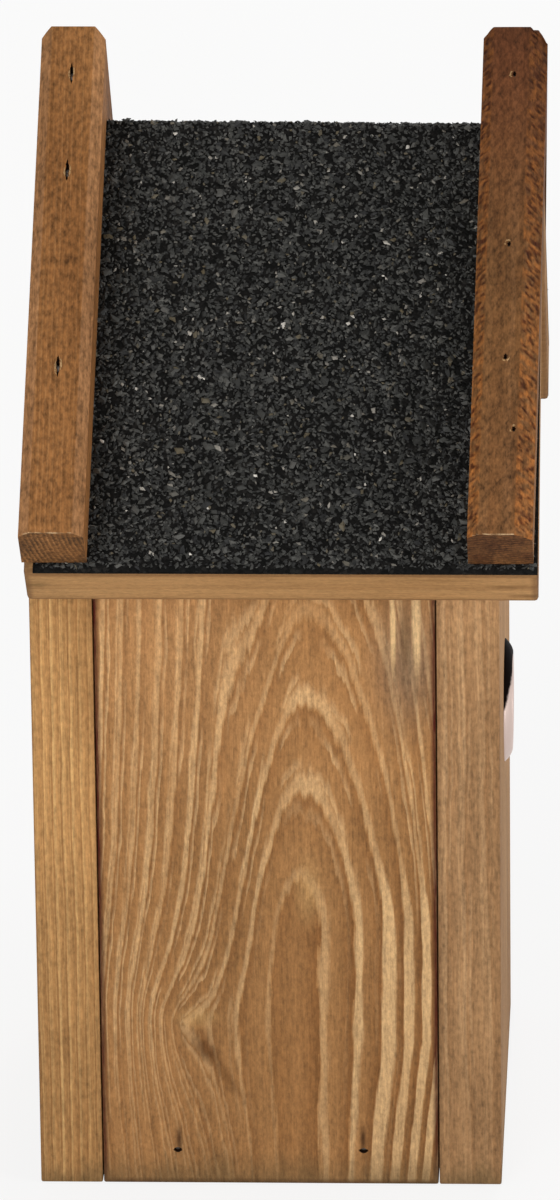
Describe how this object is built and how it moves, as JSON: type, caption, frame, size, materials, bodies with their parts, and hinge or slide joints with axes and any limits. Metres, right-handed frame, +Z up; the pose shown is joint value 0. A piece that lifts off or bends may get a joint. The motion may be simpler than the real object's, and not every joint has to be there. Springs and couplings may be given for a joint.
{
  "type": "bird nest box",
  "caption": "House-shaped wooden bird nest box with a round entrance hole, a felted gable roof under nailed battens, and a swing-out side panel held by a turn button.",
  "frame": {"origin": "centre of the underside, between the side faces and between the front and back faces", "axes": "+X towards the front with the entrance hole, +Y towards the swing-out side panel, +Z up"},
  "size_m": [0.147, 0.2262, 0.3304],
  "materials": {
    "stained_pine": "golden-brown stained softwood, sawn",
    "stained_batten": "brown stained softwood with chamfered edges",
    "granulated_felt": "bitumen felt with dark mineral granules",
    "plated_metal": "black plated, worn bright on the lower lip",
    "nail_steel": "bright wire nail, dulled",
    "zinc_steel": "zinc plated"
  },
  "bodies": {
    "box": {"back_board": "stained_pine", "front_board": "stained_pine", "fixed_side": "stained_pine", "floor_board": "stained_pine", "roof_near": "stained_pine", "roof_far": "stained_pine", "roof_felt": "granulated_felt", "batten_back_near": "stained_batten", "batten_back_far": "stained_batten", "batten_front_near": "stained_batten", "batten_front_far": "stained_batten", "hole_guard": "plated_metal", "batten_nails": "nail_steel", "roof_nails": "nail_steel", "side_nails": "nail_steel", "floor_nails": "nail_steel", "pivot_nails": "nail_steel", "button_washer": "zinc_steel", "button_screw": "zinc_steel"},
    "panel": {"swing_side": "stained_pine"},
    "button": {"turn_button": "zinc_steel"}
  },
  "joints": [
    {"name": "panel_hinge", "type": "hinge", "parent": "box", "child": "panel", "pos_m": [0, 0.059, 0.17357], "axis": [1, 0, 0], "range_deg": [0, 90]},
    {"name": "button_turn", "type": "hinge", "parent": "box", "child": "button", "pos_m": [0.058, 0.0691, 0.042], "axis": [0, 1, 0], "range_deg": [0, 90]}
  ]
}
